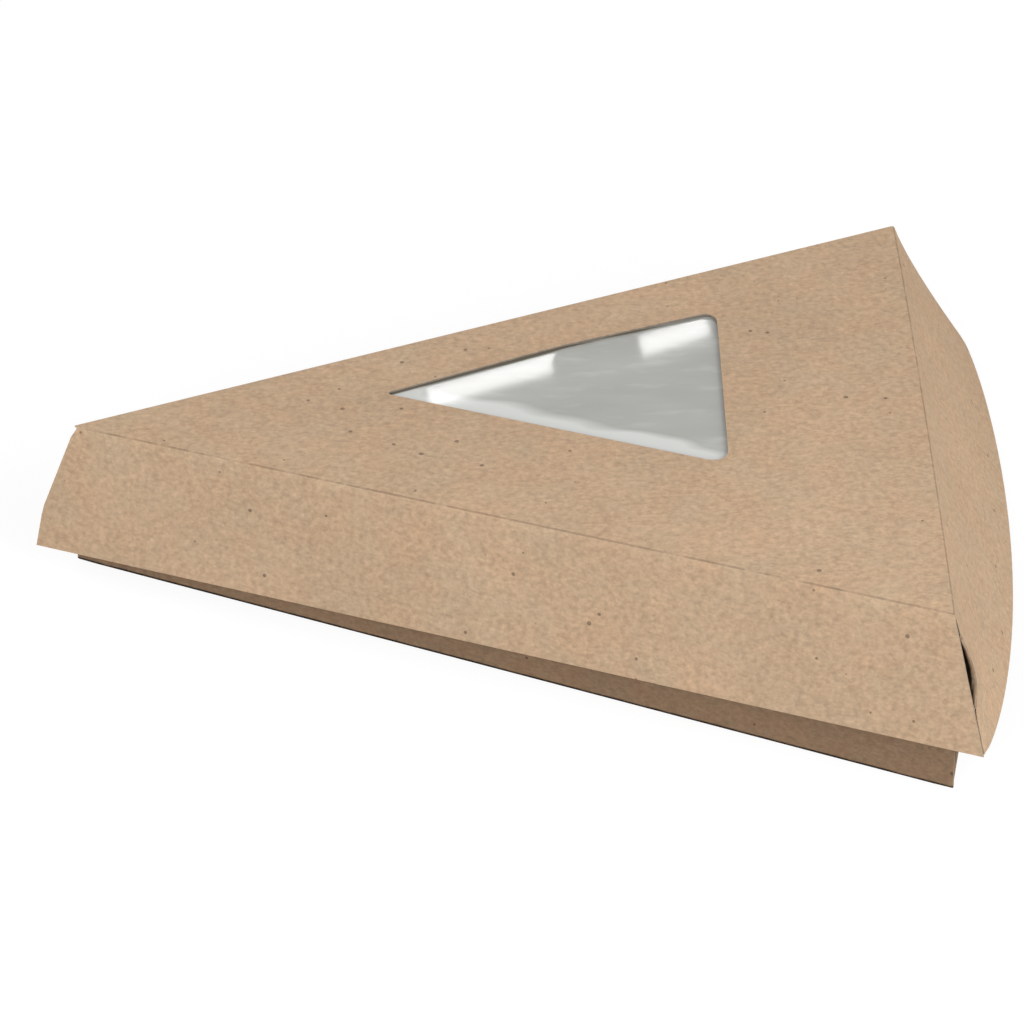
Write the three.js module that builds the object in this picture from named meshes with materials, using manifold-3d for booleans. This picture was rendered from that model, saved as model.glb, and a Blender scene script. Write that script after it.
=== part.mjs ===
// A folded board box for one slice of pizza, closed, as it stands on a table.
// Lengths are in millimetres and angles in degrees.
// The tray is a three-sided floor with a low front wall, a low crust wall and a full-height back wall.
// The lid is one triangular panel with a deep front skirt and a deep crust skirt, hung on a fold along
// the top of the back wall. A clear film closes the window in the lid from below.
// X runs from the tip to the crust, Y from the front to the hinge side and Z up.
// The origin is on the underside of the floor, two thirds of the way from the tip to the crust.
import * as THREE from "three";
import { mergeVertices } from "three/addons/utils/BufferGeometryUtils.js";
import Module from "manifold-3d";

// Board and film
const BOARD = 0.5;
const FILM = 0.2;
const RUNNING_GAP = 0.3; // between two pieces that lie on each other
const SEAM_GAP = 0.3; // between a corner tab and the wall that it lies behind

// Lid panel, measured on the folds
const PANEL_LENGTH = 210;
const APEX_ANGLE = 45;
const HINGE_HEIGHT = 41.55;
const REST_OPENING = 3.5; // the closed lid springs up by this much

// Window in the lid, with a margin of its own to each fold
const WINDOW_FRONT_MARGIN = 40;
const WINDOW_BACK_MARGIN = 20.3;
const WINDOW_CRUST_MARGIN = 48.3;
const WINDOW_CORNER_RADIUS = 4;
const WINDOW_TIP_RADIUS = 1.2;
const FILM_OVERLAP = 8;

// Front skirt of the lid
const SKIRT_DEPTH = 34.7;
const SKIRT_FLARE = 10.8;
const TIP_OVERHANG = 10.8; // how far the rim runs past the tip
const TIP_BEND_DEPTH = 24.1; // where the cut at the tip changes slope
const TIP_BEND_OVERHANG = 9;
const TIP_RELIEF = 1.2; // the small cut that frees the fold at the tip
const TIP_RELIEF_DEPTH = 2.8;
const CRUST_END_OVERHANG = 10.4;

// Crust skirt of the lid
const CRUST_BACK_DEPTH = 40;
const CRUST_BACK_FLARE = 19.8; // how far the free back corner stands out
const CRUST_BOW = 10.3; // how far the free edge bows out between its corners
const CRUST_FULLNESS = 0.8; // under 1, the bow is fuller towards the corners than a parabola
const CRUST_DROP = 6.4; // how far the free edge hangs lower between its corners
const CRUST_CURL = 1.15; // over 1, the skirt curls outwards towards its free edge
const CORNER_GAPE = 2; // how far the skirt stands off the front skirt's end
const GAPE_START = 0.14; // as shares of the way down the skirt
const GAPE_END = 0.7;
const GAPE_FADE = 24; // how fast the bulge dies out along the skirt
const LID_TAB_TOP = 0.17;
const LID_TAB_BOTTOM = 0.66;

// Tray
const FLOOR_LENGTH = 212.5;
const FLOOR_FRONT_OFFSET = 0.5; // how far the floor's front fold lies outside the lid's
const WALL_HEIGHT = 26;
const FRONT_WALL_FLARE = 5;
const CRUST_WALL_LEAN = 1.8; // how far its top corners stand out along the walls beside them
const CRUST_WALL_BOW = 3;
const BACK_WALL_SETBACK = 1.5; // of its top corners from the ends of the lid's fold
const TAB_WIDTH = 14;
const TAB_TAPER = 4;
const TAB_LIFT = 1.5; // of a tray tab above the floor

// Steps of the curved surfaces
const ACROSS_STEPS = 28;
const DOWN_STEPS = 10;
const ARC_STEPS = 6;

const HALF_APEX = THREE.MathUtils.degToRad(APEX_ANGLE / 2);
const SIN = Math.sin(HALF_APEX);
const COS = Math.cos(HALF_APEX);
const TAB_INSET = BOARD + SEAM_GAP;

const UP = new THREE.Vector3(0, 0, 1);
const DOWN = new THREE.Vector3(0, 0, -1);
const ALONG_FRONT = new THREE.Vector3(COS, -SIN, 0);
const ALONG_BACK = new THREE.Vector3(COS, SIN, 0);
const OUT_OF_FRONT = new THREE.Vector3(-SIN, -COS, 0);
const OUT_OF_BACK = new THREE.Vector3(-SIN, COS, 0);

const wasm = await Module();
wasm.setup();

// Solids

function solid(geometry) {
  geometry.deleteAttribute("normal");
  geometry.deleteAttribute("uv");
  const merged = mergeVertices(geometry, 1e-4);
  return new wasm.Manifold(
    new wasm.Mesh({
      numProp: 3,
      vertProperties: merged.getAttribute("position").array,
      triVerts: new Uint32Array(merged.index.array),
    }),
  );
}

function joined(solids) {
  return solids.reduce((whole, next) => whole.add(next));
}

function meshOf(whole, name, material) {
  const made = whole.getMesh();
  const geometry = new THREE.BufferGeometry();
  geometry.setAttribute("position", new THREE.BufferAttribute(made.vertProperties, 3));
  geometry.setIndex(new THREE.BufferAttribute(made.triVerts, 1));
  geometry.computeVertexNormals();
  const mesh = new THREE.Mesh(geometry, material);
  mesh.name = name;
  return mesh;
}

// A plane with its own u and v, in which flat panels are drawn
function plane(origin, u, v) {
  const normal = new THREE.Vector3().crossVectors(u, v);
  return new THREE.Matrix4().makeBasis(u, v, normal).setPosition(origin);
}

function pointOn(matrix, u, v) {
  return new THREE.Vector3(u, v, 0).applyMatrix4(matrix);
}

// A flat panel: its outline, thickened about the middle of the sheet
function flatPanel(outline, matrix, thickness = BOARD, hole = null) {
  const shape = new THREE.Shape(outline);
  if (hole) shape.holes.push(new THREE.Path(hole));
  const plate = new THREE.ExtrudeGeometry(shape, { depth: thickness, bevelEnabled: false });
  plate.translate(0, 0, -thickness / 2);
  return solid(plate.applyMatrix4(matrix));
}

// A curved panel: pointAt gives the middle of the sheet for shares 0 to 1 across and down
function curvedPanel(pointAt) {
  const nudge = 1e-3;
  const faces = [[], []];
  for (let row = 0; row <= DOWN_STEPS; row++) {
    for (let column = 0; column <= ACROSS_STEPS; column++) {
      const across = column / ACROSS_STEPS;
      const down = row / DOWN_STEPS;
      const sideways = pointAt(across + nudge, down).sub(pointAt(across - nudge, down));
      const downwards = pointAt(across, down + nudge).sub(pointAt(across, down - nudge));
      const normal = sideways.cross(downwards).normalize();
      faces[0].push(pointAt(across, down).addScaledVector(normal, BOARD / 2));
      faces[1].push(pointAt(across, down).addScaledVector(normal, -BOARD / 2));
    }
  }
  const columns = ACROSS_STEPS + 1;
  const positions = [...faces[0], ...faces[1]].flatMap((p) => p.toArray());
  const index = [];
  const other = faces[0].length;
  const quad = (a, b, c, d) => index.push(a, b, c, a, c, d);
  for (let row = 0; row < DOWN_STEPS; row++) {
    for (let column = 0; column < ACROSS_STEPS; column++) {
      const a = row * columns + column;
      quad(a, a + 1, a + 1 + columns, a + columns);
      quad(other + a, other + a + columns, other + a + 1 + columns, other + a + 1);
    }
  }
  // The cut edges, all the way round
  const rim = [];
  for (let column = 0; column < ACROSS_STEPS; column++) rim.push(column);
  for (let row = 0; row < DOWN_STEPS; row++) rim.push(row * columns + ACROSS_STEPS);
  for (let column = ACROSS_STEPS; column > 0; column--) rim.push(DOWN_STEPS * columns + column);
  for (let row = DOWN_STEPS; row > 0; row--) rim.push(row * columns);
  rim.forEach((a, i) => {
    const b = rim[(i + 1) % rim.length];
    quad(a, a + other, b + other, b);
  });
  const geometry = new THREE.BufferGeometry();
  geometry.setAttribute("position", new THREE.Float32BufferAttribute(positions, 3));
  geometry.setIndex(index);
  return solid(geometry);
}

// The rounded outside of a fold, along a row of points
function foldBead(points) {
  const section = new THREE.Shape().absarc(0, 0, BOARD / 2, 0, 2 * Math.PI);
  const straight = points.length === 2;
  const path = straight ? new THREE.LineCurve3(...points) : new THREE.CatmullRomCurve3(points);
  const bead = new THREE.ExtrudeGeometry(section, {
    steps: straight ? 1 : 2 * points.length,
    curveSegments: 6,
    extrudePath: path,
  });
  return solid(bead);
}

// A closed outline whose corners are rounded by the radii
function rounded(corners, radii) {
  return corners.flatMap((corner, i) => {
    const before = corners[(i + corners.length - 1) % corners.length].clone().sub(corner).normalize();
    const after = corners[(i + 1) % corners.length].clone().sub(corner).normalize();
    const halfAngle = Math.acos(before.dot(after)) / 2;
    const towards = before.clone().add(after).normalize();
    const centre = corner.clone().addScaledVector(towards, radii[i] / Math.sin(halfAngle));
    const reach = radii[i] / Math.tan(halfAngle);
    const first = corner.clone().addScaledVector(before, reach).sub(centre).angle();
    const last = corner.clone().addScaledVector(after, reach).sub(centre).angle();
    const turn = THREE.MathUtils.euclideanModulo(last - first + Math.PI, 2 * Math.PI) - Math.PI;
    return Array.from({ length: ARC_STEPS + 1 }, (_, k) => {
      const angle = first + (turn * k) / ARC_STEPS;
      return new THREE.Vector2(Math.cos(angle), Math.sin(angle)).multiplyScalar(radii[i]).add(centre);
    });
  });
}

function outline(...pairs) {
  return pairs.map(([u, v]) => new THREE.Vector2(u, v));
}

// Lid, modelled shut flat with the hinge fold through the origin

const lidPlane = new THREE.Matrix4();
const frontFoldLength = PANEL_LENGTH / COS;
const panelHalfWidth = (PANEL_LENGTH * SIN) / COS;

// The window's corners, moved outwards by grow: tip, front crust corner, back crust corner
function windowCorners(grow) {
  const front = WINDOW_FRONT_MARGIN - grow;
  const back = WINDOW_BACK_MARGIN - grow;
  const crust = PANEL_LENGTH - WINDOW_CRUST_MARGIN + grow;
  return outline(
    [(front + back) / (2 * SIN), (front - back) / (2 * COS)],
    [crust, (front - SIN * crust) / COS],
    [crust, (SIN * crust - back) / COS],
  );
}

function skirtPlane(inset) {
  const flare = THREE.MathUtils.degToRad(SKIRT_FLARE);
  const slope = DOWN.clone().multiplyScalar(Math.cos(flare)).addScaledVector(OUT_OF_FRONT, Math.sin(flare));
  const origin = OUT_OF_FRONT.clone().multiplyScalar(-inset);
  return plane(origin, ALONG_FRONT.clone(), slope);
}

function frontSkirt() {
  const rim = outline(
    [TIP_RELIEF, 0],
    [frontFoldLength, 0],
    [frontFoldLength + CRUST_END_OVERHANG, SKIRT_DEPTH],
    [-TIP_OVERHANG, SKIRT_DEPTH],
    [-TIP_BEND_OVERHANG, TIP_BEND_DEPTH],
    [(-TIP_BEND_OVERHANG * TIP_RELIEF_DEPTH) / TIP_BEND_DEPTH, TIP_RELIEF_DEPTH],
  );
  const matrix = skirtPlane(0);
  return flatPanel(rim, matrix);
}

// How far the crust skirt's front fold stands off the front skirt's end, down the skirt
function gape(down) {
  const share = THREE.MathUtils.clamp((down - GAPE_START) / (GAPE_END - GAPE_START), 0, 1);
  return CORNER_GAPE * Math.sin(Math.PI * share);
}

function frontFoldOfCrustSkirt(down, stand) {
  const start = frontFoldLength - TAB_INSET * (SIN / COS);
  const along = start + CRUST_END_OVERHANG * down + stand;
  return pointOn(skirtPlane(TAB_INSET), along, SKIRT_DEPTH * down);
}

function crustSkirtPoint(across, down) {
  const curled = Math.sign(down) * Math.abs(down) ** CRUST_CURL;
  const front = frontFoldOfCrustSkirt(down, 0);
  const back = new THREE.Vector3(
    PANEL_LENGTH + CRUST_BACK_FLARE * curled,
    ((PANEL_LENGTH + CRUST_BACK_FLARE * curled) * SIN) / COS,
    -CRUST_BACK_DEPTH * down,
  );
  const middle = Math.max(0, 4 * across * (1 - across));
  const point = front.lerp(back, across);
  point.x += CRUST_BOW * middle ** CRUST_FULLNESS * curled;
  point.z -= CRUST_DROP * middle * down;
  return point.addScaledVector(ALONG_FRONT, gape(down) * Math.exp(-GAPE_FADE * across));
}

// The tab at the crust skirt's front end, tucked behind the front skirt
function lidTab() {
  const steps = Array.from({ length: DOWN_STEPS + 1 }, (_, k) =>
    THREE.MathUtils.lerp(LID_TAB_TOP, LID_TAB_BOTTOM, k / DOWN_STEPS),
  );
  const start = frontFoldLength - TAB_INSET * (SIN / COS);
  const fold = steps.map((down) => [start + CRUST_END_OVERHANG * down + gape(down), SKIRT_DEPTH * down]);
  const inner = start - TAB_WIDTH;
  const free = [
    [inner + CRUST_END_OVERHANG * LID_TAB_BOTTOM, SKIRT_DEPTH * LID_TAB_BOTTOM - TAB_TAPER],
    [inner + CRUST_END_OVERHANG * LID_TAB_TOP, SKIRT_DEPTH * LID_TAB_TOP + TAB_TAPER],
  ];
  const tab = flatPanel(outline(...fold, ...free), skirtPlane(TAB_INSET));
  return tab.add(foldBead(steps.map((down) => frontFoldOfCrustSkirt(down, gape(down)))));
}

function lidSolid() {
  const triangle = outline([0, 0], [PANEL_LENGTH, -panelHalfWidth], [PANEL_LENGTH, panelHalfWidth]);
  const radii = [WINDOW_TIP_RADIUS, WINDOW_CORNER_RADIUS, WINDOW_CORNER_RADIUS];
  const top = flatPanel(triangle, lidPlane, BOARD, rounded(windowCorners(0), radii));
  const tip = new THREE.Vector3();
  const frontCorner = new THREE.Vector3(PANEL_LENGTH, -panelHalfWidth, 0);
  const backCorner = new THREE.Vector3(PANEL_LENGTH, panelHalfWidth, 0);
  return joined([
    top,
    foldBead([tip, frontCorner]),
    foldBead([frontCorner, backCorner]),
    foldBead([tip, backCorner]),
    frontSkirt(),
    curvedPanel(crustSkirtPoint),
    lidTab(),
  ]);
}

function filmSolid() {
  const radii = [WINDOW_TIP_RADIUS, WINDOW_CORNER_RADIUS, WINDOW_CORNER_RADIUS];
  const grown = radii.map((radius) => radius + FILM_OVERLAP / 2);
  const below = BOARD / 2 + RUNNING_GAP + FILM / 2;
  const film = lidPlane.clone().setPosition(0, 0, -below);
  return flatPanel(rounded(windowCorners(FILM_OVERLAP), grown), film, FILM);
}

// Tray, with the tip of the lid's hinge fold above x = 0, y = 0

const floorTip = new THREE.Vector3(
  -FLOOR_FRONT_OFFSET / (2 * SIN),
  -FLOOR_FRONT_OFFSET / (2 * COS),
  BOARD / 2,
);
const floorRun = (FLOOR_LENGTH - floorTip.x) / COS; // along either fold beside the tip
const backWallTop = HINGE_HEIGHT - BOARD - RUNNING_GAP - BOARD / 2;
const wallFlare = THREE.MathUtils.degToRad(FRONT_WALL_FLARE);

function frontWallPlane(inset) {
  const slope = UP.clone().multiplyScalar(Math.cos(wallFlare)).addScaledVector(OUT_OF_FRONT, Math.sin(wallFlare));
  const origin = floorTip.clone().addScaledVector(OUT_OF_FRONT, -inset);
  return plane(origin, ALONG_FRONT.clone(), slope);
}

function backWallPlane(inset) {
  const origin = floorTip.clone().addScaledVector(OUT_OF_BACK, -inset);
  return plane(origin, ALONG_BACK.clone(), UP.clone());
}

// Where the back wall turns into the tip tab: the line along which the two planes cross
function tipFold(height) {
  return (TAB_INSET / Math.cos(wallFlare) - height * Math.tan(wallFlare)) / (2 * SIN * COS);
}

function backWall() {
  const tipCorner = -floorTip.x / COS + BACK_WALL_SETBACK;
  const crustCorner = (PANEL_LENGTH - floorTip.x) / COS - BACK_WALL_SETBACK;
  return flatPanel(
    outline(
      [tipFold(0), 0],
      [floorRun, 0],
      [crustCorner, backWallTop],
      [tipCorner, backWallTop],
      [tipCorner, WALL_HEIGHT + TAB_LIFT],
      [tipFold(WALL_HEIGHT - TAB_LIFT), WALL_HEIGHT - TAB_LIFT],
    ),
    backWallPlane(0),
  );
}

// The tab at the back wall's tip end, glued behind the front wall
function tipTab() {
  const top = WALL_HEIGHT - TAB_LIFT;
  const foldAt = (height) => pointOn(backWallPlane(0), tipFold(height), height);
  const inPlane = frontWallPlane(TAB_INSET).invert();
  const low = foldAt(TAB_LIFT).applyMatrix4(inPlane);
  const high = foldAt(top).applyMatrix4(inPlane);
  const tab = flatPanel(
    outline(
      [low.x, low.y],
      [low.x + TAB_WIDTH, low.y],
      [low.x + TAB_WIDTH, high.y - TAB_TAPER],
      [high.x + TAB_WIDTH - TAB_TAPER, high.y],
      [high.x, high.y],
    ),
    frontWallPlane(TAB_INSET),
  );
  return tab.add(foldBead([foldAt(TAB_LIFT), foldAt(top)]));
}

function frontWall() {
  const height = WALL_HEIGHT;
  return flatPanel(outline([0, 0], [floorRun, 0], [floorRun, height], [0, height]), frontWallPlane(0));
}

// The crust wall's two end folds, up the wall, beside the front wall and beside the back wall
function crustWallEnd(matrix, up) {
  return pointOn(matrix, floorRun - TAB_INSET * (SIN / COS) + CRUST_WALL_LEAN * up, WALL_HEIGHT * up);
}

function crustWallPoint(across, up) {
  const front = crustWallEnd(frontWallPlane(TAB_INSET), up);
  const back = crustWallEnd(backWallPlane(TAB_INSET), up);
  const point = front.lerp(back, across);
  point.x += 4 * across * (1 - across) * CRUST_WALL_BOW * up;
  return point;
}

// A tab at one end of the crust wall, tucked behind the wall beside it
function crustWallTab(matrix) {
  const low = TAB_LIFT;
  const high = WALL_HEIGHT - TAB_LIFT;
  const foldAt = (height) =>
    floorRun - TAB_INSET * (SIN / COS) + (CRUST_WALL_LEAN * height) / WALL_HEIGHT;
  const tab = flatPanel(
    outline(
      [foldAt(high), high],
      [foldAt(high) - TAB_WIDTH, high - TAB_TAPER],
      [foldAt(low) - TAB_WIDTH, low + TAB_TAPER],
      [foldAt(low), low],
    ),
    matrix,
  );
  return tab.add(foldBead([pointOn(matrix, foldAt(low), low), pointOn(matrix, foldAt(high), high)]));
}

function traySolid() {
  const frontCorner = pointOn(frontWallPlane(0), floorRun, 0);
  const backCorner = pointOn(backWallPlane(0), floorRun, 0);
  const floorPlane = new THREE.Matrix4().setPosition(0, 0, BOARD / 2);
  const corners = [floorTip, frontCorner, backCorner].map((p) => [p.x, p.y]);
  return joined([
    flatPanel(outline(...corners), floorPlane),
    foldBead([floorTip, frontCorner]),
    foldBead([frontCorner, backCorner]),
    foldBead([floorTip, backCorner]),
    frontWall(),
    backWall(),
    tipTab(),
    curvedPanel(crustWallPoint),
    crustWallTab(frontWallPlane(TAB_INSET)),
    crustWallTab(backWallPlane(TAB_INSET)),
  ]);
}

// The box

const kraftBoard = new THREE.MeshStandardMaterial({ color: 0xbea385, roughness: 0.85, metalness: 0 });
const clearFilm = new THREE.MeshStandardMaterial({
  color: 0xd4d6d1,
  roughness: 0.12,
  metalness: 0,
  transparent: true,
  opacity: 0.45,
});

const lid = new THREE.Group();
lid.add(meshOf(lidSolid(), "lid", kraftBoard));
lid.add(meshOf(filmSolid(), "window_film", clearFilm));
lid.position.z = HINGE_HEIGHT;
lid.quaternion.setFromAxisAngle(ALONG_BACK, -THREE.MathUtils.degToRad(REST_OPENING));

const box = new THREE.Group();
box.add(meshOf(traySolid(), "tray", kraftBoard.clone()));
box.add(lid);
box.position.x = (-2 / 3) * FLOOR_LENGTH;

export default box;
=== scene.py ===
import math

import bpy
from mathutils import Matrix, Vector
from mathutils.geometry import intersect_point_line


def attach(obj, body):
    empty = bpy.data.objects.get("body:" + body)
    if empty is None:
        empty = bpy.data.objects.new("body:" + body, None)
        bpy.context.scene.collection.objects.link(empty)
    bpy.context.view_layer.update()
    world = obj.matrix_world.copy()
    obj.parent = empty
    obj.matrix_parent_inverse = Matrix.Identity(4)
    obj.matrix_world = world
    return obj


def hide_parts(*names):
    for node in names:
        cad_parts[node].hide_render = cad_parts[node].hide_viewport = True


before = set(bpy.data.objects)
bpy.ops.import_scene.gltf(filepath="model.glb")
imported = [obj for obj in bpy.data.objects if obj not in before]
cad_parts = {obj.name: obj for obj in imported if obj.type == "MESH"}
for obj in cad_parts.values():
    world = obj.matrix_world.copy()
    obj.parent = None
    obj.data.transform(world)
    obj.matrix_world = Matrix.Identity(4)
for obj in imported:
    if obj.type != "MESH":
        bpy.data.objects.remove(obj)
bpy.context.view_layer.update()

MM = 0.001

# Board and film
BOARD = 0.5 * MM
FILM = 0.1 * MM
TAB_INSET = 0.8 * MM  # from the middle of a wall to the middle of the tab behind it
FOLD_ROUNDING = 0.45 * MM
EDGE_ROUNDING = 0.08 * MM
CREASE_REACH = 1 * MM
SLOT_CREASE_REACH = 2.2 * MM
FOLD_MARK_REACH = 0.8 * MM  # how far the painted shade along the tray's front fold reaches, standing in for the shadow under its edge
SMOOTH_UP_TO = math.radians(38)
FOLD_FROM = math.radians(35)
CUT_FROM = math.radians(60)
MERGE = 0.01 * MM

# Lid, drawn shut flat with the tip of its hinge fold at the origin
PANEL_LENGTH = 210 * MM
HALF_APEX = math.radians(22.5)
CRUST_FOLD_BOW = 0.5 * MM
SKIRT_DEPTH = 34.7 * MM
SKIRT_FLARE = math.radians(10.8)
TIP_BEND_DEPTH = 24.1 * MM
TIP_BEND_OVERHANG = 9 * MM
TIP_OVERHANG = 10.8 * MM
TIP_RELIEF = 0.7 * MM  # the fold starts this far from the tip
CRUST_END_OVERHANG = 10.4 * MM
CRUST_BACK_DEPTH = 40 * MM
CRUST_BACK_FLARE = 19.8 * MM
CRUST_BOW = 10.3 * MM
CRUST_FULLNESS = 0.8
CRUST_DROP = 6.4 * MM
CRUST_CURL = 1.15
CORNER_GAPE = 2 * MM
GAPE_START = 0.14
GAPE_END = 0.7
GAPE_FADE = 24
TAB_WIDTH = 14 * MM
TAB_TAPER = 4 * MM
TAB_SINK = 2.4 * MM  # how far the lid's tab bows inwards behind the front skirt
SLOT_OPENS = 0.4 * MM  # the gape from which the slot beside the tab counts as open
SLOT_SHADE = (-2 * MM, -0.1 * MM)  # the stretch of the tab that takes painted shade, measured past the skirt's end

# Where the lid stands over the tray
FLOOR_LENGTH = 212.5 * MM
HINGE_HEIGHT = 41.55 * MM
REST_OPENING = math.radians(3.5)

# Window
WINDOW_FRONT_MARGIN = 40 * MM
WINDOW_BACK_MARGIN = 18.5 * MM
WINDOW_CRUST_MARGIN = 48.8 * MM
WINDOW_KINK_X = 122 * MM
WINDOW_KINK = 1.7 * MM  # how far the window's back edge is bent out at its kink
WINDOW_ROUNDING = (1.0 * MM, 4 * MM, 3.5 * MM, 60 * MM)
FILM_OVERLAP = 8 * MM
CUT_REACH = 3 * MM  # how far the cutters reach above and below
FILM_GLUE = 0.1 * MM
FILM_DROP = 0.2 * MM  # how far the film hangs below the glue inside the window
LEAVES_FRONT = (-5.5 * MM, -0.5 * MM)  # from where to where it leaves the board, outside the window's edges
LEAVES_BACK = (-7.5 * MM, -3 * MM)
LEAVES_CRUST = (-7 * MM, -1.5 * MM)
PUCKER = 0.3  # the share of its drop that the film loses at the kink
PUCKER_REACH = (4 * MM, 2.5 * MM)

# Tray
FLOOR_FRONT_OFFSET = 1.4 * MM
WALL_HEIGHT = 26 * MM
FRONT_WALL_FLARE = math.radians(3)
CRUST_WALL_LEAN = 1.8 * MM
CRUST_WALL_BOW = 3 * MM
BACK_WALL_SETBACK = 1.5 * MM
TAB_LIFT = 1.5 * MM

# Rows and columns of the sheets
ALONG = 48
ACROSS = 56
SKIRT_ROWS = 12
TAB_ROWS = 6
LID_TAB_COLUMNS = 28
TRAY_TAB_COLUMNS = 3
FRONT_WALL_ROWS = 8
FRONT_WALL_CROWDING = 1.5  # its rows lie closer together towards the fold
PANE_ALONG = 96
PANE_ACROSS = 64
CREASE_STEPS = 8
LID_TAB_TOP = 2 / SKIRT_ROWS
LID_TAB_BOTTOM = LID_TAB_TOP + TAB_ROWS / SKIRT_ROWS

SIN = math.sin(HALF_APEX)
COS = math.cos(HALF_APEX)
TAN = math.tan(HALF_APEX)
UP = Vector((0, 0, 1))
ALONG_FRONT = Vector((COS, -SIN, 0))
ALONG_BACK = Vector((COS, SIN, 0))
OUT_OF_FRONT = Vector((-SIN, -COS, 0))
OUT_OF_BACK = Vector((-SIN, COS, 0))
FRONT_FOLD_LENGTH = PANEL_LENGTH / COS
BOX_PLACE = Matrix.Translation((-FLOOR_LENGTH * 2 / 3, 0, 0))
HINGE_PLACE = BOX_PLACE @ Matrix.Translation((0, 0, HINGE_HEIGHT))
LID_PLACE = HINGE_PLACE @ Matrix.Rotation(-REST_OPENING, 4, ALONG_BACK)


# Sheets and folds

def mix(a, b, share):
    return a + (b - a) * share


def pick(*pieces):
    """Selects these pieces alone, the first one active."""
    bpy.ops.object.select_all(action="DESELECT")
    for piece in pieces:
        piece.select_set(True)
    bpy.context.view_layer.objects.active = pieces[0]


def sheet(name, columns, rows, place):
    """A flat grid laid out as a panel: place gives a point for shares 0 to 1 along its columns and rows."""
    bpy.ops.object.select_all(action="DESELECT")
    bpy.ops.mesh.primitive_grid_add(x_subdivisions=columns, y_subdivisions=rows, size=1)
    panel = bpy.context.object
    panel.name = name
    for vertex in panel.data.vertices:
        along = round((vertex.co.x + 0.5) * columns) / columns
        across = round((vertex.co.y + 0.5) * rows) / rows
        vertex.co = place(along, across)
    return panel


def flat_panel(name, outline):
    """A flat panel drawn as one face, its corners moved to the outline."""
    bpy.ops.object.select_all(action="DESELECT")
    bpy.ops.mesh.primitive_circle_add(vertices=len(outline), fill_type="NGON")
    panel = bpy.context.object
    panel.name = name
    for vertex, place in zip(panel.data.vertices, outline):
        vertex.co = place
    return panel


def folded(name, panels):
    """Joins the panels of one blank where they share a fold, and rounds the folds."""
    pick(*panels)
    bpy.ops.object.join()
    blank = bpy.context.object
    blank.name = blank.data.name = name
    bpy.ops.object.mode_set(mode="EDIT")
    bpy.ops.mesh.select_all(action="SELECT")
    bpy.ops.mesh.remove_doubles(threshold=MERGE)
    bpy.ops.mesh.normals_make_consistent(inside=False)
    bpy.ops.mesh.select_all(action="DESELECT")
    bpy.ops.mesh.select_mode(type="EDGE")
    bpy.ops.mesh.edges_select_sharp(sharpness=FOLD_FROM)
    bpy.ops.mesh.bevel(offset=FOLD_ROUNDING, segments=3, affect="EDGES")
    bpy.ops.object.mode_set(mode="OBJECT")
    return blank


def apply(piece, kind, **settings):
    """Adds one modifier and applies it."""
    pick(piece)
    modifier = piece.modifiers.new(kind.title(), kind)
    for name, value in settings.items():
        setattr(modifier, name, value)
    bpy.ops.object.modifier_apply(modifier=modifier.name)


def thicken(piece, thickness):
    """Gives a sheet its thickness, half to each side. Its cut edges take the second material."""
    apply(piece, "SOLIDIFY", thickness=thickness, offset=0, use_quality_normals=True, material_offset_rim=1)


def round_cut_edges(piece):
    apply(piece, "BEVEL", width=EDGE_ROUNDING, segments=1, limit_method="ANGLE", angle_limit=CUT_FROM)
    pick(piece)
    bpy.ops.object.shade_smooth_by_angle(angle=SMOOTH_UP_TO)


def mark_folds(piece, folds, takes_painted_shade):
    """Marks points from 0, a crease's reach away, to 1 on its fold, and those that take deep painted shade
    with 2.
    """
    mark = piece.data.attributes.new("fold", "FLOAT", "POINT")
    for vertex, value in zip(piece.data.vertices, mark.data):
        nearest = min(distance_to_segment(vertex.co, start, end) / reach for start, end, reach in folds)
        value.value = 2 if takes_painted_shade(vertex) else max(0, 1 - nearest)


def distance_to_segment(point, start, end):
    foot, share = intersect_point_line(point, start, end)
    if share <= 0:
        foot = start
    if share >= 1:
        foot = end
    return (point - foot).length


def prism(name, corners, rounding, low, high):
    """An upright prism on an outline whose corners are rounded, used to cut by."""
    bpy.ops.object.select_all(action="DESELECT")
    bpy.ops.mesh.primitive_circle_add(vertices=len(corners), radius=PANEL_LENGTH, fill_type="NGON")
    block = bpy.context.object
    block.name = name
    for vertex, corner in zip(block.data.vertices, corners):
        vertex.co = Vector((*corner, low))
    for i, radius in enumerate(rounding):
        before, here, after = (Vector(corners[(i + k) % len(corners)]) for k in (-1, 0, 1))
        half = (before - here).angle(after - here) / 2
        bpy.ops.object.mode_set(mode="EDIT")
        bpy.ops.mesh.select_mode(type="VERT")
        bpy.ops.mesh.select_all(action="DESELECT")
        bpy.ops.object.mode_set(mode="OBJECT")
        for vertex in block.data.vertices:
            vertex.select = (vertex.co.xy - here).length < MERGE
        bpy.ops.object.mode_set(mode="EDIT")
        bpy.ops.mesh.bevel(offset=radius / math.tan(half), segments=8, affect="VERTICES")
        bpy.ops.object.mode_set(mode="OBJECT")
    bpy.ops.object.mode_set(mode="EDIT")
    bpy.ops.mesh.select_all(action="SELECT")
    bpy.ops.mesh.extrude_region_move(TRANSFORM_OT_translate={"value": (0, 0, high - low)})
    bpy.ops.mesh.select_all(action="SELECT")
    bpy.ops.mesh.normals_make_consistent(inside=False)
    bpy.ops.object.mode_set(mode="OBJECT")
    return block


def cut(piece, cutter, operation="DIFFERENCE"):
    apply(piece, "BOOLEAN", object=cutter, operation=operation, solver="EXACT")
    bpy.data.objects.remove(cutter)


# Lid

def front_fold(along):
    return ALONG_FRONT * mix(TIP_RELIEF, FRONT_FOLD_LENGTH, along)


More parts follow.
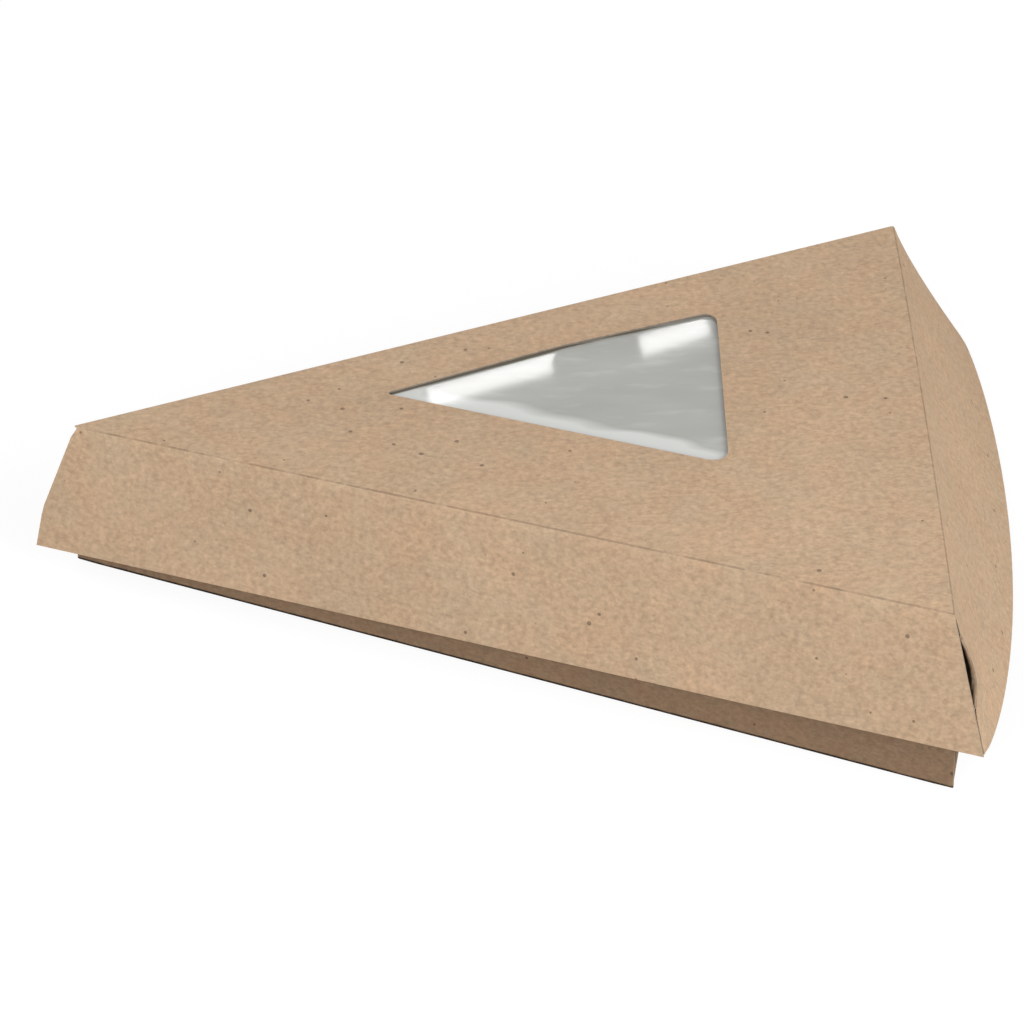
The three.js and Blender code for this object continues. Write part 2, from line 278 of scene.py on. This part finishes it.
def crust_fold(across):
    point = Vector((PANEL_LENGTH, PANEL_LENGTH * TAN * (2 * across - 1), 0))
    point.x += CRUST_FOLD_BOW * 4 * across * (1 - across)
    if across == 1:
        point += OUT_OF_BACK * BOARD / 2
    return point


def top_outline():
    """Along the front fold, and on along the crust fold to the hinge. The tip is cut off short."""
    front = [front_fold(step / ALONG) for step in range(ALONG)]
    return [*front, *(crust_fold(step / ACROSS) for step in range(ACROSS + 1)), OUT_OF_BACK * BOARD / 2]


def on_skirt(along, depth, inset=0.0):
    slope = OUT_OF_FRONT * math.sin(SKIRT_FLARE) - UP * math.cos(SKIRT_FLARE)
    return ALONG_FRONT * along + slope * depth - OUT_OF_FRONT * inset


def front_skirt(along, down):
    depth = SKIRT_DEPTH * down
    if down == 0:
        return front_fold(along)
    if depth <= TIP_BEND_DEPTH:
        overhang = TIP_BEND_OVERHANG * depth / TIP_BEND_DEPTH
    else:
        below_bend = (depth - TIP_BEND_DEPTH) / (SKIRT_DEPTH - TIP_BEND_DEPTH)
        overhang = mix(TIP_BEND_OVERHANG, TIP_OVERHANG, below_bend)
    return on_skirt(mix(-overhang, FRONT_FOLD_LENGTH + CRUST_END_OVERHANG * down, along), depth)


def corner_fold(down):
    """The fold between the crust skirt and its tab, as a distance along the front skirt."""
    share = min(max((down - GAPE_START) / (GAPE_END - GAPE_START), 0), 1)
    stand = CORNER_GAPE * math.sin(math.pi * share)
    return FRONT_FOLD_LENGTH - TAB_INSET * TAN + CRUST_END_OVERHANG * down, stand


def crust_skirt(across, down):
    if down == 0:
        return crust_fold(across)
    curled = down**CRUST_CURL
    along, stand = corner_fold(down)
    front = on_skirt(along, SKIRT_DEPTH * down, TAB_INSET)
    back_x = PANEL_LENGTH + CRUST_BACK_FLARE * curled
    back = Vector((back_x, back_x * TAN, -CRUST_BACK_DEPTH * down))
    middle = 4 * across * (1 - across)
    point = front.lerp(back, across) + ALONG_FRONT * stand * math.exp(-GAPE_FADE * across)
    point.x += CRUST_BOW * middle**CRUST_FULLNESS * curled
    point.z -= CRUST_DROP * middle * down
    return point


def lid_tab(inwards, downwards):
    """The tab on the crust skirt's front end, behind the front skirt."""
    down = mix(LID_TAB_TOP, LID_TAB_BOTTOM, downwards)
    along, stand = corner_fold(down)
    free = along - TAB_WIDTH
    depth = SKIRT_DEPTH * down + TAB_TAPER * (1 - 2 * downwards) * inwards
    sunk = TAB_SINK * math.sin(math.pi * downwards) * math.sin(math.pi * inwards**0.5)
    return on_skirt(mix(along + stand, free, inwards), depth, TAB_INSET + sunk)


def window_corners(grow=0.0):
    """The window's tip, front crust corner, back crust corner and kink, moved outwards by grow."""
    front = WINDOW_FRONT_MARGIN - grow
    back = WINDOW_BACK_MARGIN - grow
    crust = PANEL_LENGTH - WINDOW_CRUST_MARGIN + grow
    tip = Vector(((front + back) / (2 * SIN), (front - back) / (2 * COS)))
    kink = Vector((WINDOW_KINK_X, (SIN * WINDOW_KINK_X - back) / COS)) + OUT_OF_BACK.xy * WINDOW_KINK
    front_corner_y = (front - SIN * crust) / COS
    back_corner_y = (SIN * crust - back) / COS
    return tip, Vector((crust, front_corner_y)), Vector((crust, back_corner_y)), kink


def smooth_share(value, start, end):
    share = min(max((value - start) / (end - start), 0), 1)
    return share * share * (3 - 2 * share)


def in_corner_slot(vertex):
    """Whether a point lies on the outside of the lid's tab, close behind the front skirt's end, where it
    takes painted shade.
    """
    point = vertex.co
    depth = -point.z / math.cos(SKIRT_FLARE)
    down = depth / SKIRT_DEPTH
    if not LID_TAB_TOP < down < LID_TAB_BOTTOM or corner_fold(down)[1] < SLOT_OPENS:
        return False
    inset = depth * math.sin(SKIRT_FLARE) - point.dot(OUT_OF_FRONT)
    past_end = point.dot(ALONG_FRONT) - FRONT_FOLD_LENGTH - CRUST_END_OVERHANG * down
    on_tab = vertex.normal.dot(OUT_OF_FRONT) > 0.6 and TAB_INSET / 2 < inset < TAB_INSET + TAB_SINK
    return on_tab and SLOT_SHADE[0] < past_end < SLOT_SHADE[1]


def inside_window(x, y):
    """How far a point lies inside the window's front, back and crust edges."""
    from_front = SIN * x + COS * y - WINDOW_FRONT_MARGIN
    from_back = SIN * x - COS * y - WINDOW_BACK_MARGIN
    return from_front, from_back, PANEL_LENGTH - WINDOW_CRUST_MARGIN - x


def film(along, across):
    """The film under the window, glued round its margin, hanging free in the window."""
    tip, front, back, _ = window_corners(FILM_OVERLAP)
    x, y = tip.lerp(front.lerp(back, across), along)
    from_front, from_back, from_crust = inside_window(x, y)
    free = smooth_share(from_front, *LEAVES_FRONT)
    free *= smooth_share(from_back, *LEAVES_BACK)
    free *= smooth_share(from_crust, *LEAVES_CRUST)
    along_kink = (x - WINDOW_KINK_X) / PUCKER_REACH[0]
    across_kink = from_back / PUCKER_REACH[1]
    free *= 1 - PUCKER * math.exp(-(along_kink**2) - across_kink**2)
    return Vector((x, y, -BOARD / 2 - FILM_GLUE - FILM / 2 - FILM_DROP * free))


# Tray

floor_tip = Vector((-FLOOR_FRONT_OFFSET / (2 * SIN), -FLOOR_FRONT_OFFSET / (2 * COS), BOARD / 2))
floor_run = (FLOOR_LENGTH - floor_tip.x) / COS
tab_heights = [mix(TAB_LIFT, WALL_HEIGHT - TAB_LIFT, row / TAB_ROWS) for row in range(TAB_ROWS + 1)]
back_wall_top = HINGE_HEIGHT - BOARD
above_tabs = [WALL_HEIGHT + TAB_LIFT, mix(WALL_HEIGHT, back_wall_top, 0.6), back_wall_top]
back_wall_heights = [0, *tab_heights, *above_tabs]
crust_wall_heights = [0, *tab_heights, WALL_HEIGHT]


def on_front_wall(along, height, inset=0.0):
    slope = OUT_OF_FRONT * math.sin(FRONT_WALL_FLARE) + UP * math.cos(FRONT_WALL_FLARE)
    return floor_tip + ALONG_FRONT * along + slope * height - OUT_OF_FRONT * inset


def on_back_wall(along, height, inset=0.0):
    return floor_tip + ALONG_BACK * along + UP * height - OUT_OF_BACK * inset


front_corner = on_front_wall(floor_run, 0)
back_corner = on_back_wall(floor_run, 0)


def floor_outline():
    """From the tip along the front wall, the crust wall and the back wall."""
    front = [floor_tip.lerp(front_corner, step / ALONG) for step in range(ALONG)]
    crust = [front_corner.lerp(back_corner, step / ACROSS) for step in range(ACROSS)]
    return [*front, *crust, *(back_corner.lerp(floor_tip, step / ALONG) for step in range(ALONG))]


def at_front_fold(vertex):
    """Whether a point lies on the outside of the front wall's fold, just above the table, where it takes
    painted shade for the shadow under the box's edge.
    """
    outside = (vertex.co - floor_tip).dot(OUT_OF_FRONT) > 0
    return outside and distance_to_segment(vertex.co, floor_tip, front_corner) < FOLD_MARK_REACH


def front_wall(along, up):
    return on_front_wall(floor_run * along, WALL_HEIGHT * up**FRONT_WALL_CROWDING)


def tip_fold(height):
    """Where the back wall turns into its tip tab, as a distance along the back wall."""
    return (TAB_INSET / math.cos(FRONT_WALL_FLARE) - height * math.tan(FRONT_WALL_FLARE)) / (2 * SIN * COS)


def back_wall(along, up):
    height = back_wall_heights[round(up * (len(back_wall_heights) - 1))]
    if height == 0:
        return floor_tip.lerp(back_corner, along)
    tip_corner = -floor_tip.x / COS + BACK_WALL_SETBACK
    crust_corner = (PANEL_LENGTH - floor_tip.x) / COS - BACK_WALL_SETBACK
    start = tip_fold(height) if height < WALL_HEIGHT else tip_corner
    return on_back_wall(mix(start, mix(floor_run, crust_corner, height / back_wall_top), along), height)


def tip_tab(inwards, up):
    """The tab on the back wall's tip end, glued behind the front wall."""
    height = tab_heights[round(up * TAB_ROWS)]
    fold = on_back_wall(tip_fold(height), height)
    slope = OUT_OF_FRONT * math.sin(FRONT_WALL_FLARE) + UP * math.cos(FRONT_WALL_FLARE)
    return fold + (ALONG_FRONT * TAB_WIDTH - slope * TAB_TAPER * up) * inwards


def crust_wall(across, up):
    height = crust_wall_heights[round(up * (len(crust_wall_heights) - 1))]
    if height == 0:
        return front_corner.lerp(back_corner, across)
    share = height / WALL_HEIGHT
    along = floor_run - TAB_INSET * TAN + CRUST_WALL_LEAN * share
    point = on_front_wall(along, height, TAB_INSET).lerp(on_back_wall(along, height, TAB_INSET), across)
    point.x += CRUST_WALL_BOW * 4 * across * (1 - across) * share
    return point


def crust_tab(on_wall):
    """One of the crust wall's end tabs, tucked behind the wall beside it."""
    def place(inwards, up):
        height = tab_heights[round(up * TAB_ROWS)]
        along = floor_run - TAB_INSET * TAN + CRUST_WALL_LEAN * height / WALL_HEIGHT
        return on_wall(along - TAB_WIDTH * inwards, height + TAB_TAPER * (1 - 2 * up) * inwards, TAB_INSET)
    return place


# Materials

def add_node(tree, kind, inputs=None, **settings):
    """A node with its settings. An input is a number, a colour or the output that feeds it."""
    made = tree.nodes.new(kind)
    for name, value in settings.items():
        setattr(made, name, value)
    for name, value in (inputs or {}).items():
        if isinstance(value, bpy.types.NodeSocket):
            tree.links.new(value, made.inputs[name])
        else:
            made.inputs[name].default_value = value
    return made


def noise(tree, vector, scale, detail, roughness=0.5):
    inputs = {"Vector": vector, "Scale": scale, "Detail": detail, "Roughness": roughness}
    return add_node(tree, "ShaderNodeTexNoise", inputs).outputs["Fac"]


def calculate(tree, operation, *values):
    return add_node(tree, "ShaderNodeMath", dict(enumerate(values)), operation=operation).outputs[0]


def remap(tree, value, low, high, to_low, to_high):
    inputs = {"Value": value, "From Min": low, "From Max": high, "To Min": to_low, "To Max": to_high}
    return add_node(tree, "ShaderNodeMapRange", inputs).outputs["Result"]


def multiply_colour(tree, colour, other):
    made = add_node(tree, "ShaderNodeVectorMath", {0: colour, 1: other}, operation="MULTIPLY")
    return made.outputs[0]


def flecks(tree, vector, scale, share, size):
    """A mask of small specks, one in some of the cells of a loose pattern."""
    cells = add_node(tree, "ShaderNodeTexVoronoi", {"Vector": vector, "Scale": scale})
    chance = add_node(tree, "ShaderNodeSeparateColor", {"Color": cells.outputs["Color"]})
    kept = calculate(tree, "LESS_THAN", chance.outputs["Red"], share)
    reach = calculate(tree, "MULTIPLY", chance.outputs["Green"], size)
    inside = calculate(tree, "LESS_THAN", cells.outputs["Distance"], reach)
    return calculate(tree, "MULTIPLY", kept, inside)


def kraft_surface():
    """Uncoated kraft board: cloudy tone, matted fibres, dark and pale specks, painted shade along creases and
    deep painted shade where points are marked 2.
    """
    tree = bpy.data.node_groups.new("Kraft surface", "ShaderNodeTree")
    for name, kind, way in (
        ("Board", "NodeSocketColor", "INPUT"),
        ("Fold", "NodeSocketFloat", "INPUT"),
        ("Crease Shade", "NodeSocketFloat", "INPUT"),
        ("Dark Flecks", "NodeSocketFloat", "INPUT"),
        ("Pale Flecks", "NodeSocketFloat", "INPUT"),
        ("Color", "NodeSocketColor", "OUTPUT"),
        ("Roughness", "NodeSocketFloat", "OUTPUT"),
        ("Height", "NodeSocketFloat", "OUTPUT"),
    ):
        tree.interface.new_socket(name=name, in_out=way, socket_type=kind)
    given = add_node(tree, "NodeGroupInput").outputs
    place = add_node(tree, "ShaderNodeTexCoord").outputs["Object"]
    lengthwise = add_node(tree, "ShaderNodeMapping", {"Vector": place, "Scale": (0.5, 1, 1)}).outputs[0]
    clouds = noise(tree, place, 42, 3)
    mottle = noise(tree, place, 600, 4, 0.65)
    fibres = noise(tree, lengthwise, 1200, 3, 0.6)
    tone = remap(tree, clouds, 0.3, 0.7, 0.965, 1.035)
    tone = calculate(tree, "ADD", tone, remap(tree, mottle, 0.25, 0.75, -0.18, 0.18))
    tone = calculate(tree, "ADD", tone, remap(tree, fibres, 0.25, 0.75, -0.13, 0.13))
    tint = add_node(tree, "ShaderNodeMix", {0: noise(tree, place, 95, 2)}, data_type="RGBA")
    tint.inputs[6].default_value = (1.05, 0.965, 0.93, 1)
    tint.inputs[7].default_value = (0.95, 1.03, 1.06, 1)
    colour = multiply_colour(tree, given["Board"], tint.outputs[2])
    colour = multiply_colour(tree, colour, tone)
    bark = flecks(tree, place, 190, given["Dark Flecks"], 0.12)
    colour = multiply_colour(tree, colour, remap(tree, bark, 0, 1, 1, 0.5))
    bleached = flecks(tree, place, 420, given["Pale Flecks"], 0.2)
    colour = multiply_colour(tree, colour, remap(tree, bleached, 0, 1, 1, 1.1))
    # Painted shade along the folds, broken by noise; the same mask also sinks a groove into the bump
    broken = remap(tree, noise(tree, place, 160, 3, 0.7), 0.32, 0.52, 0.25, 1)
    crease = calculate(tree, "MULTIPLY", remap(tree, given["Fold"], 0.66, 0.84, 0, 1), broken)
    colour = multiply_colour(tree, colour, remap(tree, crease, 0, 1, 1, given["Crease Shade"]))
    # Points marked 2 take a deep painted shade
    colour = multiply_colour(tree, colour, remap(tree, given["Fold"], 1.2, 1.8, 1, 0.16))
    height = calculate(tree, "ADD", mottle, calculate(tree, "MULTIPLY", fibres, 0.7))
    height = calculate(tree, "SUBTRACT", height, crease)
    roughness = remap(tree, mottle, 0.2, 0.8, 0.78, 0.92)
    add_node(tree, "NodeGroupOutput", {"Color": colour, "Roughness": roughness, "Height": height})
    return tree


def kraft(name, board, crease_shade, dark=0.8, pale=0.6):
    material = bpy.data.materials.new(name)
    material.use_nodes = True
    tree = material.node_tree
    shader = tree.nodes["Principled BSDF"]
    fold = add_node(tree, "ShaderNodeAttribute", attribute_name="fold")
    look = add_node(tree, "ShaderNodeGroup", node_tree=kraft_look)
    tree.links.new(fold.outputs["Fac"], look.inputs["Fold"])
    look.inputs["Board"].default_value = (*board, 1)
    look.inputs["Crease Shade"].default_value = crease_shade
    look.inputs["Dark Flecks"].default_value = dark
    look.inputs["Pale Flecks"].default_value = pale
    relief = {"Strength": 0.25, "Distance": 0.08 * MM, "Height": look.outputs["Height"]}
    bump = add_node(tree, "ShaderNodeBump", relief)
    tree.links.new(look.outputs["Color"], shader.inputs["Base Color"])
    tree.links.new(look.outputs["Roughness"], shader.inputs["Roughness"])
    tree.links.new(bump.outputs["Normal"], shader.inputs["Normal"])
    shader.inputs["Specular IOR Level"].default_value = 0.2
    return material


def window_film_material():
    """Thin glossy film, milky with handling, with a paler band of painted reflection along its front edge and
    a dark band of painted shade along its back edge.
    """
    material = bpy.data.materials.new("Window film")
    material.use_nodes = True
    tree = material.node_tree
    shader = tree.nodes["Principled BSDF"]
    place = add_node(tree, "ShaderNodeTexCoord").outputs["Object"]
    streaked = add_node(tree, "ShaderNodeMapping", {"Vector": place, "Scale": (0.35, 1, 1)}).outputs[0]
    across = add_node(tree, "ShaderNodeVectorMath", {0: place, 1: (SIN, COS, 0)}, operation="DOT_PRODUCT")
    front_edge = BOX_PLACE.translation.x * SIN + WINDOW_FRONT_MARGIN
    from_edge = calculate(tree, "SUBTRACT", across.outputs["Value"], front_edge)
    waves = remap(tree, noise(tree, streaked, 60, 2), 0.3, 0.7, -5 * MM, 4 * MM)
    wavy = calculate(tree, "ADD", from_edge, waves)
    # A paler band along the front edge, painted as a reflection
    painted_reflection_band = remap(tree, wavy, 2 * MM, 6 * MM, 1, 0)
    haze = remap(tree, noise(tree, streaked, 70, 3), 0.3, 0.75, 0, 0.3)
    wrinkle = remap(tree, noise(tree, streaked, 240, 2), 0.55, 0.75, 0, 0.2)
    milk_and_painted_reflection = calculate(tree, "MAXIMUM", painted_reflection_band, calculate(tree, "ADD", haze, wrinkle))
    # Grey film, pale where milky and in the painted reflection band
    colour = add_node(tree, "ShaderNodeMix", {0: milk_and_painted_reflection}, data_type="RGBA")
    colour.inputs[6].default_value = (0.46, 0.457, 0.425, 1)
    colour.inputs[7].default_value = (0.74, 0.75, 0.72, 1)
    # A dark band along the back edge, its width wobbling, painted as shade under the board's cut edge
    from_board = add_node(tree, "ShaderNodeAttribute", attribute_name="back_edge").outputs["Fac"]
    shade_band_wobble = remap(tree, noise(tree, streaked, 45, 2), 0.4, 0.6, 0, 0.6 * MM)
    shade = remap(tree, calculate(tree, "SUBTRACT", from_board, shade_band_wobble), 0, 0.4 * MM, 1, 0)
    shaded = add_node(tree, "ShaderNodeMix", {0: shade}, data_type="RGBA")
    tree.links.new(colour.outputs[2], shaded.inputs[6])
    shaded.inputs[7].default_value = (0.2, 0.175, 0.14, 1)
    tree.links.new(shaded.outputs[2], shader.inputs["Base Color"])
    tree.links.new(remap(tree, milk_and_painted_reflection, 0, 1, 0.82, 0.93), shader.inputs["Alpha"])
    shader.inputs["Roughness"].default_value = 0.07
    return material


kraft_look = kraft_surface()
# The last number sets how dark the painted shade along the lid's folds gets
lid_kraft = kraft("Lid kraft board", (0.535, 0.375, 0.245), 0.55)
# The tray is the lid's board darkened as painted shade, with darker painted shade along its folds
shade_darkened_tray_kraft = kraft("Tray kraft board darkened as painted shade", (0.31, 0.2, 0.123), 0.3)
cut_edge = kraft("Cut board edge", (0.36, 0.28, 0.2), 0.5, 0.1, 0.1)
# The window's back cut edge is coloured dark as painted shade
window_back_edge_shade = kraft("Window's back cut edge in painted shade", (0.19, 0.165, 0.13), 0.5, 0.1, 0.1)
film_look = window_film_material()


# The pieces

def finish_board(piece, material):
    piece.data.materials.clear()
    for look in (material, cut_edge, window_back_edge_shade):
        piece.data.materials.append(look)
    thicken(piece, BOARD)


lid = folded("lid_sheet", [
    flat_panel("Top panel", top_outline()),
    sheet("Front skirt", ALONG, SKIRT_ROWS, front_skirt),
    sheet("Crust skirt", ACROSS, SKIRT_ROWS, crust_skirt),
    sheet("Lid tab", LID_TAB_COLUMNS, TAB_ROWS, lid_tab),
])
finish_board(lid, lid_kraft)
window = prism("Window cutter", window_corners(), WINDOW_ROUNDING, -CUT_REACH, CUT_REACH)
cut(lid, window)
# The window's back cut edge takes the dark painted-shade material; its other cut edges take the plain cut
# edge
for face in lid.data.polygons:
    if abs(face.normal.z) < 0.3 and min(inside_window(*face.center.xy)) > -WINDOW_KINK - 1 * MM:
        face.material_index = 2 if face.normal.dot(OUT_OF_BACK) < -0.5 else 1
round_cut_edges(lid)
crust_creases = [crust_fold(step / CREASE_STEPS) for step in range(CREASE_STEPS + 1)]
slot_steps = [mix(LID_TAB_TOP, LID_TAB_BOTTOM, step / TAB_ROWS) for step in range(TAB_ROWS + 1)]
slot_creases = [on_skirt(sum(corner_fold(down)), SKIRT_DEPTH * down, TAB_INSET) for down in slot_steps]
lid_creases = [(front_fold(0), front_fold(1), CREASE_REACH)]
lid_creases += [(start, end, CREASE_REACH) for start, end in zip(crust_creases, crust_creases[1:])]
lid_creases += [(start, end, SLOT_CREASE_REACH) for start, end in zip(slot_creases, slot_creases[1:])]
mark_folds(lid, lid_creases, in_corner_slot)
lid.data.transform(LID_PLACE)
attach(lid, "lid")
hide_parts("lid")

tray = folded("tray_sheet", [
    flat_panel("Floor", floor_outline()),
    sheet("Front wall", ALONG, FRONT_WALL_ROWS, front_wall),
    sheet("Back wall", ALONG, len(back_wall_heights) - 1, back_wall),
    sheet("Tip tab", TRAY_TAB_COLUMNS, TAB_ROWS, tip_tab),
    sheet("Crust wall", ACROSS, len(crust_wall_heights) - 1, crust_wall),
    sheet("Front crust tab", TRAY_TAB_COLUMNS, TAB_ROWS, crust_tab(on_front_wall)),
    sheet("Back crust tab", TRAY_TAB_COLUMNS, TAB_ROWS, crust_tab(on_back_wall)),
])
finish_board(tray, shade_darkened_tray_kraft)
round_cut_edges(tray)
floor_corners = [floor_tip, front_corner, back_corner, floor_tip]
tray_creases = [(start, end, CREASE_REACH) for start, end in zip(floor_corners, floor_corners[1:])]
mark_folds(tray, tray_creases, at_front_fold)
tray.data.transform(BOX_PLACE)
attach(tray, "tray")
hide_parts("tray")

pane = sheet("window_pane", PANE_ALONG, PANE_ACROSS, film)
pick(pane)
bpy.ops.object.mode_set(mode="EDIT")
bpy.ops.mesh.select_all(action="SELECT")
bpy.ops.mesh.remove_doubles(threshold=MERGE)
bpy.ops.object.mode_set(mode="OBJECT")
thicken(pane, FILM)
film_rounding = [radius + FILM_OVERLAP / 2 for radius in WINDOW_ROUNDING]
film_outline = prism("Film outline", window_corners(FILM_OVERLAP), film_rounding, -CUT_REACH, CUT_REACH)
cut(pane, film_outline, "INTERSECT")
pane.data.materials.clear()
pane.data.materials.append(film_look)
pick(pane)
bpy.ops.object.shade_smooth_by_angle(angle=SMOOTH_UP_TO)
tip, _, back, kink = (corner.to_3d() for corner in window_corners())
# Distance from the window's back edge on the film's top face places the band of painted shade; the underside
# is set far off and takes none
back_edge = pane.data.attributes.new("back_edge", "FLOAT", "POINT")
for vertex, distance in zip(pane.data.vertices, back_edge.data):
    flat = Vector((vertex.co.x, vertex.co.y, 0))
    nearest = min(distance_to_segment(flat, tip, kink), distance_to_segment(flat, kink, back))
    distance.value = nearest if vertex.normal.z > 0 else PANEL_LENGTH
pane.data.transform(LID_PLACE)
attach(pane, "lid")
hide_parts("window_film")


# Floor, light and camera

bpy.ops.object.select_all(action="DESELECT")
bpy.ops.mesh.primitive_plane_add(size=8)
table = bpy.context.object
table.name = "White table"
white = bpy.data.materials.new("White table")
white.use_nodes = True
shader = white.node_tree.nodes["Principled BSDF"]
shader.inputs["Base Color"].default_value = (0.16, 0.16, 0.16, 1)
shader.inputs["Roughness"].default_value = 1
shader.inputs["Specular IOR Level"].default_value = 0
shader.inputs["Emission Color"].default_value = (1, 1, 1, 1)
seen = add_node(white.node_tree, "ShaderNodeLightPath").outputs["Is Camera Ray"]
glow = calculate(white.node_tree, "MULTIPLY", seen, 0.88)
white.node_tree.links.new(glow, shader.inputs["Emission Strength"])
table.data.materials.append(white)

world = bpy.data.worlds.new("White room")
world.use_nodes = True
bpy.context.scene.world = world
path = add_node(world.node_tree, "ShaderNodeLightPath").outputs
shown = calculate(world.node_tree, "MAXIMUM", path["Is Camera Ray"], path["Is Glossy Ray"])
shown = calculate(world.node_tree, "MAXIMUM", shown, path["Is Transmission Ray"])
background = world.node_tree.nodes["Background"]
background.inputs["Color"].default_value = (1, 1, 1, 1)
world.node_tree.links.new(remap(world.node_tree, shown, 0, 1, 0.3, 1), background.inputs["Strength"])


def area_lamp(name, place, aim, size, power):
    """A rectangular lamp facing the point that it is aimed at."""
    bpy.ops.object.light_add(type="AREA", location=place)
    lamp = bpy.context.object
    lamp.name = name
    lamp.data.shape = "RECTANGLE"
    lamp.data.size, lamp.data.size_y = size
    lamp.data.energy = power
    lamp.rotation_euler = (Vector(place) - Vector(aim)).to_track_quat("Z", "Y").to_euler()
    lamp.visible_camera = False
    return lamp


area_lamp("Large soft box", (0.85, -0.68, 0.62), (0, 0, 0), (1, 1), 15.1)
area_lamp("Left soft box", (-0.58, -0.92, 0.62), (0, 0, 0), (0.6, 0.6), 7.6)
area_lamp("Low soft box behind", (-0.45, 1.1, 0.25), (0, 0, 0), (0.9, 0.5), 3.5)

# Two small strips of light that the film mirrors towards the camera
STRIP_DISTANCE = 0.15
STRIP_BRIGHTNESS = 9.5


def strip(name, on_film, towards, run, length, width):
    """A strip lamp whose mirror image lies at on_film. Its length lies along run."""
    away, sideways = Vector(towards), Vector(run)
    lamp = area_lamp(name, (0, 0, 1), (0, 0, 0), (length, width), STRIP_BRIGHTNESS * math.pi * length * width)
    matrix = Matrix((sideways, away.cross(sideways), away)).transposed().to_4x4()
    matrix.translation = Vector(on_film) + away * STRIP_DISTANCE
    lamp.matrix_world = matrix
    lamp.visible_diffuse = False


strip(
    "Long strip",
    on_film=(-0.0386, 0.0168, 0.0417),
    towards=(-0.0277, 0.869, 0.494),
    run=(0.9735, 0.1357, -0.1841),
    length=0.0365,
    width=0.0056,
)
strip(
    "Short strip",
    on_film=(0.0084, 0.0357, 0.0418),
    towards=(0.0175, 0.8734, 0.4867),
    run=(0.9661, 0.1106, -0.2332),
    length=0.0205,
    width=0.006,
)

bpy.ops.object.camera_add(location=(-0.03615, -0.81583, 0.65059))
camera = bpy.context.object
camera.rotation_euler = [math.radians(turn) for turn in (52.041, 0.1036, -0.2819)]
camera.data.sensor_width = 36
camera.data.lens = 144.11
bpy.context.scene.camera = camera
bpy.context.scene.view_settings.view_transform = "Standard"
